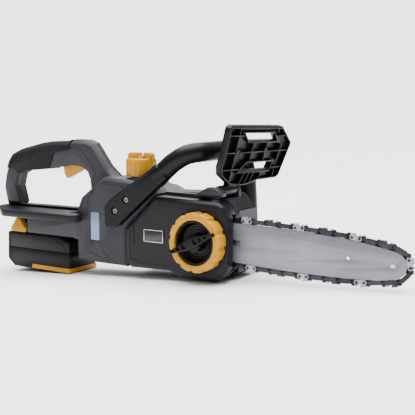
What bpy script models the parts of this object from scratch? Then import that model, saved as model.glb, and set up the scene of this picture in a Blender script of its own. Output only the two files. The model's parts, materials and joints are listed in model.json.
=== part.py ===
"""Battery chainsaw with a 25 cm bar, built as an assembly of separate pieces.

Drawing frame: X runs forward along the saw, Y to its left and Z up, with X = 0 at the cover's clamp
stud, Y = 0 in the middle of the guide bar and Z = 0 level with the pack's underside. Outlines are in millimetres and
are scaled to metres as they are built. The empty saw_frame tips the drawing frame a little
nose-down, which brings the pack's front edge and the front foot onto the floor, and moves it so
that the world origin is under the middle of the whole saw.
"""

import math

import bmesh
import bpy
from mathutils import Matrix, Vector

MM = 0.001
GAP = 0.3

# Place of the drawing frame in the world.
SAW_X = 67.79
SAW_Y = -43.5
SAW_Z = -17.003
SAW_TILT_DEG = 3.9

# Guide bar, chain and drive.
BAR_AXIS_Z = 75.5
BAR_TILT_DEG = 2.2
BAR_THICKNESS = 4.2
BAR_NOSE_X = 257.0
BAR_NOSE_RADIUS = 17.0
BAR_PROFILE = ((-38, 17.5), (-28, 22.0), (0, 25.2), (32, 26.8), (85, 27.5), (140, 27.0), (195, 24.8), (230,
                                                                                                       21.6))
CHAIN_PITCH = 9.525
DRIVE_LINKS = 40
RIVET_LINE = 3.9
CHAIN_WIDTH = 6.0
SPROCKET_TEETH = 6
SPROCKET_RIVET_RADIUS = CHAIN_PITCH / (2 * math.sin(math.pi / (2 * SPROCKET_TEETH)))
NOSE_TEETH = 8

# Reduction gear: the motor's pinion turns the gear on the sprocket's shaft.
GEAR_MODULE = 1.25
GEAR_TEETH = 40
PINION_TEETH = 12
PRESSURE_DEG = 25.0
MOTOR_DIRECTION_DEG = 20.0

# Housing.
PARTING_Y = 12.0
HANDLE_HALF_WIDTH = 12.0
RIGHT_Y = -22.0
LEFT_Y = 71.0
PAD_Y = 3.0
WALL = 3.0
COVER_Y = -26.0

# Battery pack.
PACK_FRONT_X = -250.0
PACK_HALF_WIDTH = 31.5
CELL_RADIUS = 9.0
CELL_LENGTH = 65.0

# Hand guard and its pivot.
PIVOT_X = 16.0
PIVOT_Z = 143.0
GUARD_LEAN_DEG = 18.3
GUARD_TURN_DEG = -7.0
GUARD_DEPTH = 11.0


def clear_scene():
    """Remove whatever the scene holds."""
    for obj in list(bpy.data.objects):
        bpy.data.objects.remove(obj, do_unlink=True)


def make_material(name, colour, roughness, metallic=0.0):
    """A Principled material in one colour."""
    material = bpy.data.materials.new(name)
    material.use_nodes = True
    shader = material.node_tree.nodes["Principled BSDF"]
    shader.inputs["Base Color"].default_value = (*colour, 1.0)
    shader.inputs["Roughness"].default_value = roughness
    shader.inputs["Metallic"].default_value = metallic
    return material


def make_empty(name, place=(0, 0, 0), turn=(0, 0, 0), parent=None):
    """An empty at a place in millimetres, turned by degrees, for pieces to be parented to."""
    empty = bpy.data.objects.new(name, None)
    bpy.context.collection.objects.link(empty)
    empty.location = Vector(place) * MM
    empty.rotation_euler = [math.radians(angle) for angle in turn]
    empty.parent = parent
    return empty


def make_piece(name, mesh_data, material, parent, place=(0, 0, 0), turn=(0, 0, 0)):
    """An object from a bmesh, whose origin is at place in its parent's frame."""
    mesh = bpy.data.meshes.new(name)
    bmesh.ops.remove_doubles(mesh_data, verts=mesh_data.verts, dist=1e-6)
    bmesh.ops.recalc_face_normals(mesh_data, faces=mesh_data.faces)
    mesh_data.to_mesh(mesh)
    mesh_data.free()
    mesh.materials.append(material)
    obj = bpy.data.objects.new(name, mesh)
    bpy.context.collection.objects.link(obj)
    obj.parent = parent
    obj.location = Vector(place) * MM
    obj.rotation_euler = [math.radians(angle) for angle in turn]
    return obj


def smooth(obj, angle_deg=35):
    """Smooth shading with sharp edges kept."""
    obj.data.shade_smooth()
    obj.data.set_sharp_from_angle(angle=math.radians(angle_deg))
    return obj


def as_tool(obj):
    """Mark an object as a cutter or a shape to be joined, so that it isn't a piece by itself."""
    obj.hide_render = True
    obj.display_type = "WIRE"
    return obj


def boolean(obj, tool, operation):
    """Cut or join a piece with a tool object."""
    modifier = obj.modifiers.new(operation.title() + "_" + tool.name, "BOOLEAN")
    modifier.operation = operation
    modifier.object = as_tool(tool)
    return obj


def prism(outline, low, high, axis="Y", edge=0.0, edge_low=None):
    """A bmesh of an outline given in the two other axes' order and extruded along axis.

    edge is the chamfer of the rim at high and edge_low the one at low.
    """
    shape = bmesh.new()
    order = {"X": (1, 2, 0), "Y": (0, 2, 1), "Z": (0, 1, 2)}[axis]

    def vertex(u, v, w):
        place = [0.0, 0.0, 0.0]
        place[order[0]] = u * MM
        place[order[1]] = v * MM
        place[order[2]] = w * MM
        return shape.verts.new(place)

    base = [vertex(u, v, low) for u, v in outline]
    top = [vertex(u, v, high) for u, v in outline]
    shape.faces.new(base)
    shape.faces.new(list(reversed(top)))
    count = len(outline)
    for i in range(count):
        shape.faces.new([base[i], top[i], top[(i + 1) % count], base[(i + 1) % count]])
    bmesh.ops.recalc_face_normals(shape, faces=shape.faces)
    for ring, width in ((top, edge), (base, edge_low or 0.0)):
        if width > 0:
            ring_set = set(ring)
            rim = [e for e in shape.edges if e.is_valid and e.verts[0] in ring_set and e.verts[1] in ring_set]
            bmesh.ops.bevel(shape, geom=rim, offset=width * MM, segments=1, affect="EDGES", profile=0.5)
    return shape


def box(low, high, edge=0.0):
    """A bmesh box between two corners in millimetres, with chamfered edges."""
    shape = bmesh.new()
    size = [high[i] - low[i] for i in range(3)]
    middle = [(high[i] + low[i]) / 2 for i in range(3)]
    matrix = Matrix.Translation(Vector(middle) * MM) @ Matrix.Diagonal((*[s * MM for s in size], 1.0))
    bmesh.ops.create_cube(shape, size=1.0, matrix=matrix)
    if edge > 0:
        bmesh.ops.bevel(shape, geom=shape.edges[:], offset=edge * MM, segments=1, affect="EDGES", profile=0.5)
    return shape


def turned(profile, steps=32, axis="Y", centre=(0, 0, 0)):
    """A bmesh of a closed profile of (radius, height) points turned round an axis."""
    shape = bmesh.new()
    rings = []
    for i in range(steps):
        angle = 2 * math.pi * i / steps
        ring = []
        for radius, height in profile:
            a = radius * math.cos(angle)
            b = radius * math.sin(angle)
            local = {"X": (height, a, b), "Y": (b, height, a), "Z": (a, b, height)}[axis]
            ring.append(shape.verts.new((Vector(local) + Vector(centre)) * MM))
        rings.append(ring)
    count = len(profile)
    for i in range(steps):
        this = rings[i]
        following = rings[(i + 1) % steps]
        for j in range(count):
            shape.faces.new([this[j], this[(j + 1) % count], following[(j + 1) % count], following[j]])
    bmesh.ops.remove_doubles(shape, verts=shape.verts, dist=1e-7)
    bmesh.ops.dissolve_degenerate(shape, dist=1e-7, edges=shape.edges)
    bmesh.ops.recalc_face_normals(shape, faces=shape.faces)
    return shape


def disc_profile(outer, low, high, inner=0.0, edge=0.0):
    """Profile of a turned disc or ring with chamfered outer rims."""
    if edge > 0:
        return ((inner, low), (outer - edge, low), (outer, low + edge), (outer, high - edge), (outer - edge,
                                                                                               high), (inner, high))
    return ((inner, low), (outer, low), (outer, high), (inner, high))


def arc(centre, radius, start_deg, end_deg, steps):
    """Points on a circle's arc, both ends included."""
    points = []
    for i in range(steps + 1):
        angle = math.radians(start_deg + (end_deg - start_deg) * i / steps)
        points.append((centre[0] + radius * math.cos(angle), centre[1] + radius * math.sin(angle)))
    return points


def rounded(outline, radius, steps=3):
    """The outline with each corner replaced by a short arc-like curve."""
    points = []
    count = len(outline)
    for i in range(count):
        corner = Vector(outline[i])
        before = Vector(outline[i - 1])
        after = Vector(outline[(i + 1) % count])
        reach = min(radius, (before - corner).length * 0.45, (after - corner).length * 0.45)
        start = corner + (before - corner).normalized() * reach
        end = corner + (after - corner).normalized() * reach
        for k in range(steps + 1):
            t = k / steps
            points.append(tuple(start * (1 - t) ** 2 + corner * 2 * t * (1 - t) + end * t ** 2))
    return points


def catmull(points, steps):
    """Points on a smooth curve through the given points, ends included."""
    vectors = [Vector(p) for p in points]
    curve = []
    for i in range(len(vectors) - 1):
        p0 = vectors[max(i - 1, 0)]
        p1 = vectors[i]
        p2 = vectors[i + 1]
        p3 = vectors[min(i + 2, len(vectors) - 1)]
        for k in range(steps):
            t = k / steps
            curve.append(
                0.5 * (2 * p1 + (p2 - p0) * t + (2 * p0 - 5 * p1 + 4 * p2 - p3) * t ** 2
                       + (3 * p1 - p0 - 3 * p2 + p3) * t ** 3)
            )
    curve.append(vectors[-1])
    return curve


def tube(path, radius, sides=14):
    """A bmesh tube with flat ends round a path of points in millimetres."""
    shape = bmesh.new()
    rings = []
    across = Vector((0, 0, 1))
    for i, point in enumerate(path):
        ahead = path[min(i + 1, len(path) - 1)]
        behind = path[max(i - 1, 0)]
        along = (Vector(ahead) - Vector(behind)).normalized()
        across = (across - along * across.dot(along)).normalized()
        side = along.cross(across)
        ring = []
        for k in range(sides):
            angle = 2 * math.pi * k / sides
            offset = across * math.cos(angle) * radius + side * math.sin(angle) * radius
            ring.append(shape.verts.new((Vector(point) + offset) * MM))
        rings.append(ring)
    for this, following in zip(rings, rings[1:]):
        for k in range(sides):
            shape.faces.new([this[k], following[k], following[(k + 1) % sides], this[(k + 1) % sides]])
    shape.faces.new(list(reversed(rings[0])))
    shape.faces.new(rings[-1])
    bmesh.ops.recalc_face_normals(shape, faces=shape.faces)
    return shape


def involute(base_radius, radius):
    """Involute angle at a radius outside the base circle."""
    pressure = math.acos(base_radius / radius)
    return math.tan(pressure) - pressure


def gear_outline(teeth, module, backlash):
    """Outline of a spur gear with involute flanks, its first tooth centred on the first axis."""
    pressure = math.radians(PRESSURE_DEG)
    pitch_radius = teeth * module / 2
    base_radius = pitch_radius * math.cos(pressure)
    tip_radius = pitch_radius + 0.85 * module
    root_radius = pitch_radius - 1.25 * module
    half_tooth = math.pi / (2 * teeth) - backlash / (2 * pitch_radius)
    at_pitch = involute(base_radius, pitch_radius)
    lowest = max(base_radius, root_radius) + 0.01
    radii = (lowest, tip_radius)
    flank = [(root_radius, half_tooth + at_pitch - involute(base_radius, lowest))]
    flank += [(radius, half_tooth + at_pitch - involute(base_radius, radius)) for radius in radii]
    points = []
    for i in range(teeth):
        middle = 2 * math.pi * i / teeth
        for radius, half in flank:
            points.append((radius * math.cos(middle - half), radius * math.sin(middle - half)))
        for radius, half in reversed(flank):
            points.append((radius * math.cos(middle + half), radius * math.sin(middle + half)))
    return points


def screw_shape(head_radius, head_height, shank_radius, shank_length, axis, sides=16):
    """A pan-head screw whose head rises from height 0 and whose shank goes down."""
    profile = ((0, -shank_length), (shank_radius, -shank_length), (shank_radius, 0), (head_radius, 0),
               (head_radius, head_height * 0.6), (head_radius * 0.75, head_height), (head_radius * 0.35,
                                                                                     head_height),
               (head_radius * 0.35, head_height * 0.45), (0, head_height * 0.45))
    return turned(profile, sides, axis)


clear_scene()

GREY = make_material("grey_housing_plastic", (0.085, 0.084, 0.092), 0.45)
DARK = make_material("charcoal_cover_plastic", (0.026, 0.027, 0.034), 0.5)
BLACK = make_material("black_plastic", (0.012, 0.012, 0.014), 0.45)
RUBBER = make_material("black_rubber", (0.015, 0.015, 0.017), 0.75)
YELLOW = make_material("yellow_plastic", (0.85, 0.42, 0.035), 0.42)
STEEL = make_material("ground_steel", (0.42, 0.42, 0.45), 0.32, 1.0)
DARK_STEEL = make_material("chain_steel", (0.16, 0.16, 0.17), 0.38, 1.0)
WINDOW = make_material("oil_window_plastic", (0.3, 0.38, 0.56), 0.25)
COPPER = make_material("copper_winding", (0.55, 0.22, 0.08), 0.35, 1.0)
BRASS = make_material("brass_contact", (0.62, 0.45, 0.14), 0.3, 1.0)
BOARD = make_material("circuit_board", (0.02, 0.13, 0.05), 0.5)
CELL_WRAP = make_material("cell_wrap", (0.05, 0.15, 0.4), 0.4)
BADGE = make_material("badge_plate", (0.5, 0.5, 0.52), 0.3, 1.0)

SAW = make_empty("saw_frame", (SAW_X, SAW_Y, SAW_Z), (0, SAW_TILT_DEG, 0))
BAR_LINE = make_empty("bar_line", (0, 0, BAR_AXIS_Z), (0, BAR_TILT_DEG, 0), SAW)


# Chain path: the line through the rivets, in the bar's own plane (along the bar, above its middle).

def bar_edge():
    """Upper edge of the guide bar from its tail to the top of the nose arc."""
    edge = [tuple(p) for p in catmull(BAR_PROFILE, 3)]
    edge += arc((BAR_NOSE_X, 0), BAR_NOSE_RADIUS, 78, 0, 8)
    return edge


def outward(edge, distance):
    """The bar's upper edge moved outwards by a distance."""
    moved = []
    for i, point in enumerate(edge):
        ahead = Vector(edge[min(i + 1, len(edge) - 1)])
        behind = Vector(edge[max(i - 1, 0)])
        along = (ahead - behind).normalized()
        moved.append((point[0] - along.y * distance, point[1] + along.x * distance))
    moved[-1] = (edge[-1][0] + distance, 0.0)
    return moved


def chain_loop(sprocket_x, distance):
    """Closed line at a distance outside the bar's edge and the sprocket's seat."""
    seat = SPROCKET_RIVET_RADIUS - RIVET_LINE
    upper = outward(bar_edge()[3:], distance)
    rear = arc((sprocket_x, 0), seat + distance, 180, 98, 8)
    upper = rear + upper
    lower = [(x, -z) for x, z in reversed(upper[1:-1])]
    return upper + lower


def loop_length(points):
    """Length of a closed line."""
    return sum((Vector(points[i]) - Vector(points[i - 1])).length for i in range(len(points)))


def find_sprocket_x():
    """Place of the sprocket that gives the rivet line the chain's length."""
    wanted = 2 * DRIVE_LINKS * CHAIN_PITCH
    sprocket_x = -70.0
    for _ in range(20):
        sprocket_x += (loop_length(chain_loop(sprocket_x, RIVET_LINE)) - wanted) / 2
    return sprocket_x


SPROCKET_X = find_sprocket_x()
MOTOR_REACH = (GEAR_TEETH + PINION_TEETH) * GEAR_MODULE / 2
MOTOR_X = SPROCKET_X + MOTOR_REACH * math.cos(math.radians(MOTOR_DIRECTION_DEG))
MOTOR_Z = MOTOR_REACH * math.sin(math.radians(MOTOR_DIRECTION_DEG))


# Housing shells: the two moulded halves, with the rear handle moulded in.

HANDLE_OUTER = ((-414, 99.5), (-421, 131), (-415, 156), (-407, 174), (-398, 185), (-376, 194), (-327, 204.5),
                (-302, 207.5), (-268, 208.5), (-254, 212.5), (-227, 212), (-213, 206), (-187, 172), (-160, 150),
                (-160, 120), (-236, 110), (-240, 99.5))
HANDLE_OPENING = ((-380, 103), (-389, 134), (-382, 155), (-374, 160), (-316, 165), (-276, 168.5), (-262, 171),
                  (-246, 171), (-234, 168), (-225, 161.5), (-220, 150), (-218.5, 133), (-247, 103))
SKIRT = ((-343, 58.6), (-343, 86.6), (-228, 86.6), (-228, 58.6))
REAR_BODY = ((-238, 92), (-244, 84), (-240, 56), (-240, 25), (-133, 25), (-133, 83), (-78, 136), (-100, 150),
             (-128, 154), (-176, 157), (-222, 124))
CORNER_FACET = ((-247, -4), (-219, -28), (-247, -28))
FRONT_BODY_RIGHT = ((-150, 26), (-60, 30), (-34, 24), (24, 24), (37, 36), (39, 112), (33, 126), (22, 136),
                    (-77, 138), (-150, 138))
FRONT_BODY_LEFT = ((-150, 26), (-56, 28), (-34, 22.4), (-6, 22.4), (0, 20.2), (21, 20.2), (39, 30), (39, 116),
                   (33, 117), (31, 126), (22, 136), (12, 139), (-84, 137), (-98, 143.5), (-150, 150))


def inset_outline(outline, distance):
    """The outline moved inwards by a distance, each corner along its bisector."""
    area = sum(outline[i - 1][0] * outline[i][1] - outline[i][0] * outline[i - 1][1] for i in range(len(outline)))
    turn = 1.0 if area > 0 else -1.0
    points = []
    count = len(outline)
    for i in range(count):
        corner = Vector(outline[i])
        before = (corner - Vector(outline[i - 1])).normalized()
        after = (Vector(outline[(i + 1) % count]) - corner).normalized()
        normal_a = Vector((-before.y, before.x)) * turn
        normal_b = Vector((-after.y, after.x)) * turn
        bisector = (normal_a + normal_b).normalized()
        points.append(tuple(corner + bisector * distance / max(bisector.dot(normal_a), 0.4)))
    return points


def handle_ring(low, high, wall, edge_high, edge_low):
    """The D-shaped rear handle, walls moved inwards by wall, as a tool object with its opening cut."""
    ring = make_piece("handle_ring", prism(inset_outline(HANDLE_OUTER, wall), low, high, "Y", edge_high,
                                           edge_low),
                      GREY, SAW)
    hole = make_piece("handle_opening", prism(inset_outline(HANDLE_OPENING, -wall), low - 5, high + 5),
                      GREY, SAW)
    boolean(ring, hole, "DIFFERENCE")
    return ring


def cylinder_tool(name, radius, low, high, axis, centre, steps=20, parent=None):
    """A round cutter along an axis through centre."""
    return make_piece(name, turned(disc_profile(radius, low, high), steps, axis, centre), GREY, parent or SAW)


def box_tool(name, low, high):
    """A box-shaped cutter between two corners."""
    return make_piece(name, box(low, high), GREY, SAW)


def corner_cutter(wall):
    """Upright cutter of the facet at the body's right rear corner, wall inside the housing's surface."""
    outline = inset_outline(CORNER_FACET, -wall)
    return make_piece("corner_cutter", prism(outline, 19, 58.3, "Z"), GREY, SAW)


REAR_LEFT_Y = 46.0
REAR_CHAMFER = 5.0
FRONT_CHAMFER = 9.0
HANDLE_CHAMFER = 7.0
CHAMFER_LESS = 1.5
FAIRING = ((-18, 136.5), (4, 149), (20, 149), (28, 142), (28, 136.5))
BEARING_RADIUS = 11.0
BEARING_SEAT_RADIUS = 14.0
SHAFT_RADIUS = 5.0
STUD_RADIUS = 4.0
HANDLE_SCREWS = ((-120.5, 127.0), (-141.3, 109.7))
LEFT_HANDLE_SCREW = (-19.0, 42.0)
HOUSING_SCREWS = ((-72, 46, 71), (-112, 118, 71), (-206, 50, 46), (-403, 146, 24))
VENT_COUNT = 6
VENT_X = -72.0
VENT_STEP = 9.0
VENT_WIDTH = 3.5
LOCK_OFF_X = -285.0
LOCK_OFF_Z = 187.0
CAP_X = -130.5
CAP_Y = 14.0
NECK_RADIUS = 16.0
HUB_RADIUS = 8.0
PIN_RADIUS = 3.0
RAIL_OFFSET = 18.0


def make_shell(name, side):
    """One housing half: side is -1 for the right half and 1 for the left half."""
    face = PARTING_Y + side * GAP / 2
    past_face = PARTING_Y - side
    handle_side = PARTING_Y + side * HANDLE_HALF_WIDTH
    right = side < 0
    parts = (
        (REAR_BODY, RIGHT_Y if right else REAR_LEFT_Y, REAR_CHAMFER),
        (FRONT_BODY_RIGHT if right else FRONT_BODY_LEFT, PAD_Y if right else LEFT_Y,
         0.0 if right else FRONT_CHAMFER),
        (SKIRT, PARTING_Y + side * PACK_HALF_WIDTH, 2.0),
    )

    def slab(outline, inner, outer, edge):
        """A solid from an inner to an outer plane, the rim of its outer side chamfered."""
        if right:
            return prism(outline, outer, inner, "Y", 0.0, edge)
        return prism(outline, inner, outer, "Y", edge, 0.0)

    def ring(wall, inner, outer, edge):
        """The rear handle's ring from an inner to an outer plane."""
        if right:
            return handle_ring(outer, inner, wall, 0.0, edge)
        return handle_ring(inner, outer, wall, edge, 0.0)

    outline, outer, edge = parts[0]
    shell = make_piece(name, slab(outline, face, outer, edge), GREY, SAW)
    boolean(shell, ring(0.0, face, handle_side, HANDLE_CHAMFER), "UNION")
    for outline, outer, edge in parts[1:]:
        boolean(shell, make_piece("outer_block", slab(outline, face, outer, edge), GREY, SAW), "UNION")
    for outline, outer, edge in parts:
        inside = slab(inset_outline(outline, WALL), past_face, outer - side * WALL, max(edge - CHAMFER_LESS,
                                                                                        0.0))
        space = make_piece("inner_space", inside, GREY, SAW)
        if right and outline is REAR_BODY:
            boolean(space, corner_cutter(WALL), "DIFFERENCE")
        boolean(shell, space, "DIFFERENCE")
    boolean(shell, ring(WALL, past_face, handle_side - side * WALL, HANDLE_CHAMFER - CHAMFER_LESS),
            "DIFFERENCE")
    return shell


def finish_right_shell(shell):
    """Fairing, bearing seat, corner facet and openings of the right half."""
    boolean(shell, corner_cutter(0.0), "DIFFERENCE")
    boolean(shell, make_piece("fairing", prism(FAIRING, -18, 5.5, "Y", 0.0, 3.0), GREY, SAW), "UNION")
    shaft_line = (SPROCKET_X, 0, 0)
    boolean(shell, cylinder_tool("bearing_seat", BEARING_SEAT_RADIUS, PAD_Y + 1, 14, "Y", shaft_line, 28,
                                 BAR_LINE),
            "UNION")
    boolean(shell, cylinder_tool("bearing_bore", BEARING_RADIUS + GAP, 6.2, 15, "Y", shaft_line, 28, BAR_LINE),
            "DIFFERENCE")
    boolean(shell, cylinder_tool("shaft_hole", SHAFT_RADIUS + 2, PAD_Y - 1, 8, "Y", shaft_line, 20, BAR_LINE),
            "DIFFERENCE")
    boolean(shell, cylinder_tool("stud_hole", STUD_RADIUS + GAP, PAD_Y - 1, 8, "Y", (0, 0, 0), 16, BAR_LINE),
            "DIFFERENCE")
    boolean(shell, box_tool("window_opening", (-201, RIGHT_Y - 1, 60), (-184, RIGHT_Y + 5, 103)), "DIFFERENCE")
    for x, z in HANDLE_SCREWS:
        boolean(shell, cylinder_tool("handle_screw_hole", 2.6, RIGHT_Y - 1, RIGHT_Y + 5, "Y", (x, 0, z), 12),
                "DIFFERENCE")


def finish_left_shell(shell):
    """Pivot ear, cooling slots and screw holes of the left half."""
    ear_outline = ((PIVOT_X - 9, 133), (PIVOT_X + 9, 133), *arc((PIVOT_X, PIVOT_Z), 8.5, 0, 180, 8))
    boolean(shell, make_piece("pivot_ear", prism(ear_outline, 36.6, 43.0), GREY, SAW), "UNION")
    for i in range(VENT_COUNT):
        x = VENT_X + i * VENT_STEP
        boolean(shell, box_tool("vent", (x, LEFT_Y - 5, 62), (x + VENT_WIDTH, LEFT_Y + 1, 112)), "DIFFERENCE")
    for x, z, side_y in HOUSING_SCREWS:
        boolean(shell, cylinder_tool("screw_hole", 2.4, side_y - 6, side_y + 1, "Y", (x, 0, z), 12),
                "DIFFERENCE")
    lock_line = (LOCK_OFF_X, 0, LOCK_OFF_Z)
    boolean(shell, cylinder_tool("lock_off_hole", 7.6, 19, 26, "Y", lock_line, 20), "DIFFERENCE")
    pad_line = (LEFT_HANDLE_SCREW[0], 0, LEFT_HANDLE_SCREW[1])
    boolean(shell, cylinder_tool("pad_screw_hole", 2.6, LEFT_Y - 5, LEFT_Y + 1, "Y", pad_line, 12),
            "DIFFERENCE")


def cut_shared_openings(shells):
    """Openings that lie across both halves: trigger slot, filler neck, guard hub, its pin and the pack's rails."""
    tools = [
        box_tool("trigger_slot", (-294.5, 5, 140), (-237, 19, 186)),
        cylinder_tool("neck_hole", NECK_RADIUS + 0.6, 140, 165, "Z", (CAP_X, CAP_Y, 0), 28),
        box_tool("hub_slot", (PIVOT_X - 14, -4.5, PIVOT_Z - 10), (PIVOT_X + 30, 36.3, 170)),
        cylinder_tool("pin_hole", PIN_RADIUS + GAP, -13, 50, "Y", (PIVOT_X, 0, PIVOT_Z), 16),
    ]
    for side in (-1, 1):
        y = PARTING_Y + side * RAIL_OFFSET
        tools.append(box_tool("rail_slot", (-350, y - 4.6, 56), (-246, y + 4.6, 64)))
        tools.append(box_tool("rail_mouth", (-350, y - 7.6, 61.8), (-338, y + 7.6, 66.4)))
    for shell in shells:
        for tool in tools:
            boolean(shell, tool, "DIFFERENCE")
        smooth(shell, 25)


RIGHT_SHELL = make_shell("right_housing", -1)
LEFT_SHELL = make_shell("left_housing", 1)
finish_right_shell(RIGHT_SHELL)
finish_left_shell(LEFT_SHELL)
cut_shared_openings((RIGHT_SHELL, LEFT_SHELL))


# Grip overmould: a soft sleeve round the grip and the rear corner of the handle.

GRIP_REGION = ((-445, 163), (-445, 230), (-262, 230), (-262, 196), (-296, 190), (-312, 155), (-376, 150),
               (-390, 163))
GRIP_THICKNESS = 1.5


def sized_ring(name, grow):
    """The rear handle's ring grown by a distance on every side."""
    low = PARTING_Y - HANDLE_HALF_WIDTH - grow
    high = PARTING_Y + HANDLE_HALF_WIDTH + grow
    outer = prism(inset_outline(HANDLE_OUTER, -grow), low, high, "Y", HANDLE_CHAMFER, HANDLE_CHAMFER)
    ring = make_piece(name, outer, RUBBER, SAW)
    hole = make_piece(name + "_hole", prism(inset_outline(HANDLE_OPENING, grow), low - 5, high + 5), RUBBER,
                      SAW)
    return boolean(ring, hole, "DIFFERENCE")


GRIP = sized_ring("grip_overmould", GRIP_THICKNESS)
boolean(GRIP, make_piece("grip_region", prism(GRIP_REGION, -30, 60), RUBBER, SAW), "INTERSECT")
boolean(GRIP, sized_ring("grip_core", GAP), "DIFFERENCE")
boolean(GRIP, cylinder_tool("grip_lock_off_hole", 9.0, 21, 30, "Y", (LOCK_OFF_X, 0, LOCK_OFF_Z), 20),
        "DIFFERENCE")
smooth(GRIP, 25)


# Rear hand guard plate, under the grip and wider on the saw's right.

PLATE_OUTLINE = ((-372, -46), (-226, -46), (-215, -37), (-215, -23.6), (-246, -23.6), (-246, 50), (-374, 50),
                 (-420, 38), (-429, 16), (-424, -6))
smooth(make_piece("rear_hand_guard", prism(rounded(PLATE_OUTLINE, 6, 2), 86.9, 99.2, "Z", 2.0, 2.0), DARK, SAW))


# Front handle: right leg with its mounting plate, cross tube and left leg.

LEG_OUTLINE = ((-162, 114), (-161, 86), (-154, 83), (-141, 86), (-66, 148), (-48, 162), (-66, 181), (-80, 171),
               (-152, 125))
HANDLE_PATH = ((-74, -24.3, 158), (-47, -24.3, 180.5), (-26, -19, 193), (-14, -4, 196), (-10, 20, 197),
               (-10, 60, 198), (-10, 88, 197), (-7, 102, 188), (-4, 107, 172), (-1, 107.5, 150), (2, 107.5,
                                                                                                  100),
               (2, 106, 80), (1, 97, 56), (0, 85, 45))
TUBE_RADIUS = 14.0
LEFT_PAD = ((-28, 30), (24, 30), (24, 62), (-28, 62))
HANDLE = make_piece("front_handle", tube(catmull(HANDLE_PATH, 2), TUBE_RADIUS), BLACK, SAW)
LEG_PLATE = prism(rounded(LEG_OUTLINE, 5, 2), -38, RIGHT_Y - 0.4, "Y", 0.0, 2.5)
boolean(HANDLE, make_piece("leg_plate", LEG_PLATE, BLACK, SAW), "UNION")
boolean(HANDLE, make_piece("left_pad", prism(rounded(LEFT_PAD, 8, 2), LEFT_Y + 0.4, 86, "Y", 3.0), BLACK, SAW),
        "UNION")
for screw_x, screw_z in HANDLE_SCREWS:
    boolean(HANDLE, cylinder_tool("counterbore", 5.6, -40, -34, "Y", (screw_x, 0, screw_z), 16), "DIFFERENCE")
    boolean(HANDLE, cylinder_tool("leg_hole", 2.6, -36, -20, "Y", (screw_x, 0, screw_z), 12), "DIFFERENCE")
PAD_LINE = (LEFT_HANDLE_SCREW[0], 0, LEFT_HANDLE_SCREW[1])
boolean(HANDLE, cylinder_tool("pad_counterbore", 5.6, 81, 90, "Y", PAD_LINE, 16), "DIFFERENCE")
boolean(HANDLE, cylinder_tool("pad_hole", 2.6, 69, 83, "Y", PAD_LINE, 12), "DIFFERENCE")
smooth(HANDLE, 30)


# Screws: pan heads with a drive recess, their shanks through the moulded walls.

def make_screw(name, place, facing, head_radius, shank_radius, shank_length):
    """One screw, its head's underside at place, facing -1 for the saw's right and 1 for its left."""
    shape = screw_shape(head_radius, 2.2, shank_radius, shank_length, "Y", 14)
    bmesh.ops.scale(shape, vec=(1, facing, 1), verts=shape.verts)
    return smooth(make_piece(name, shape, DARK_STEEL, SAW, place))


for number, (screw_x, screw_z) in enumerate(HANDLE_SCREWS, 1):
    make_screw(f"handle_screw_{number}", (screw_x, -34.3, screw_z), -1, 5.0, 2.2, 14.6)
make_screw("handle_screw_3", (LEFT_HANDLE_SCREW[0], 81.3, LEFT_HANDLE_SCREW[1]), 1, 5.0, 2.2, 12.6)
for number, (screw_x, screw_z, side_y) in enumerate(HOUSING_SCREWS, 1):
    make_screw(f"housing_screw_{number}", (screw_x, side_y + GAP, screw_z), 1, 4.2, 2.0, 4.5)


# Hand guard: a ribbed paddle on a hub, which turns on the pivot pin and works the chain brake.

GUARD_OUTLINE = ((-16, 80), (-16.5, 89), (-12, 93), (110, 93), (143.7, 69), (143.3, 64), (134.3, 16), (127,
                                                                                                       12.3),
                 (80, 11), (52, 5), (37, 5), (14, 7.8), (-10, 21.5), (-15, 33), (-14, 50))
GUARD_NECK = ((13, -3), (34, -3), (34, 16), (13, 16))
UPPER_WINDOW = ((19.5, 83), (90, 83), (105, 71.3), (34.7, 71.3))
LOWER_WINDOW = ((28, 26.5), (42, 39.5), (106, 39.5), (103, 26.5))
GUARD = make_piece("hand_guard", turned(disc_profile(HUB_RADIUS, -4.0, 35.8), 24, "Y"), BLACK, SAW,
                   (PIVOT_X, 0, PIVOT_Z))
PADDLE = make_empty("guard_paddle", (2.2, 0, 0), (0, GUARD_LEAN_DEG, GUARD_TURN_DEG), GUARD)


def on_paddle(name, outline, low, high, edge=0.0):
    """A shape drawn across and up the paddle, whose front rim is at depth 0."""
    return make_piece(name, prism(outline, low, high, "X", edge, edge), BLACK, PADDLE)


boolean(GUARD, on_paddle("paddle", GUARD_OUTLINE, -GUARD_DEPTH, 0, 1.5), "UNION")
boolean(GUARD, on_paddle("neck", GUARD_NECK, -10, -1), "UNION")
boolean(GUARD, on_paddle("paddle_pocket", inset_outline(GUARD_OUTLINE, 3.2), 2.8 - GUARD_DEPTH, 2),
        "DIFFERENCE")
for label, outline in (("upper_window", UPPER_WINDOW), ("lower_window", LOWER_WINDOW)):
    boolean(GUARD, on_paddle(label + "_rim", inset_outline(outline, -2.5), 1 - GUARD_DEPTH, -0.6), "UNION")
    boolean(GUARD, on_paddle(label, outline, -3 - GUARD_DEPTH, 3), "DIFFERENCE")
boolean(GUARD, cylinder_tool("ear_relief", 9.2, 36.2, 43.8, "Y", (0, 0, 0), 24, GUARD), "DIFFERENCE")
boolean(GUARD, cylinder_tool("hub_bore", PIN_RADIUS + GAP, -6, 38, "Y", (0, 0, 0), 16, GUARD), "DIFFERENCE")
smooth(GUARD, 25)
PIN_PROFILE = disc_profile(PIN_RADIUS, -12.5, 44.5, 0, 0.6)
smooth(make_piece("guard_pivot_pin", turned(PIN_PROFILE, 16, "Y"), STEEL, SAW, (PIVOT_X, 0, PIVOT_Z)))


# Side cover over the sprocket, held by the clamp knob.

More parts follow.
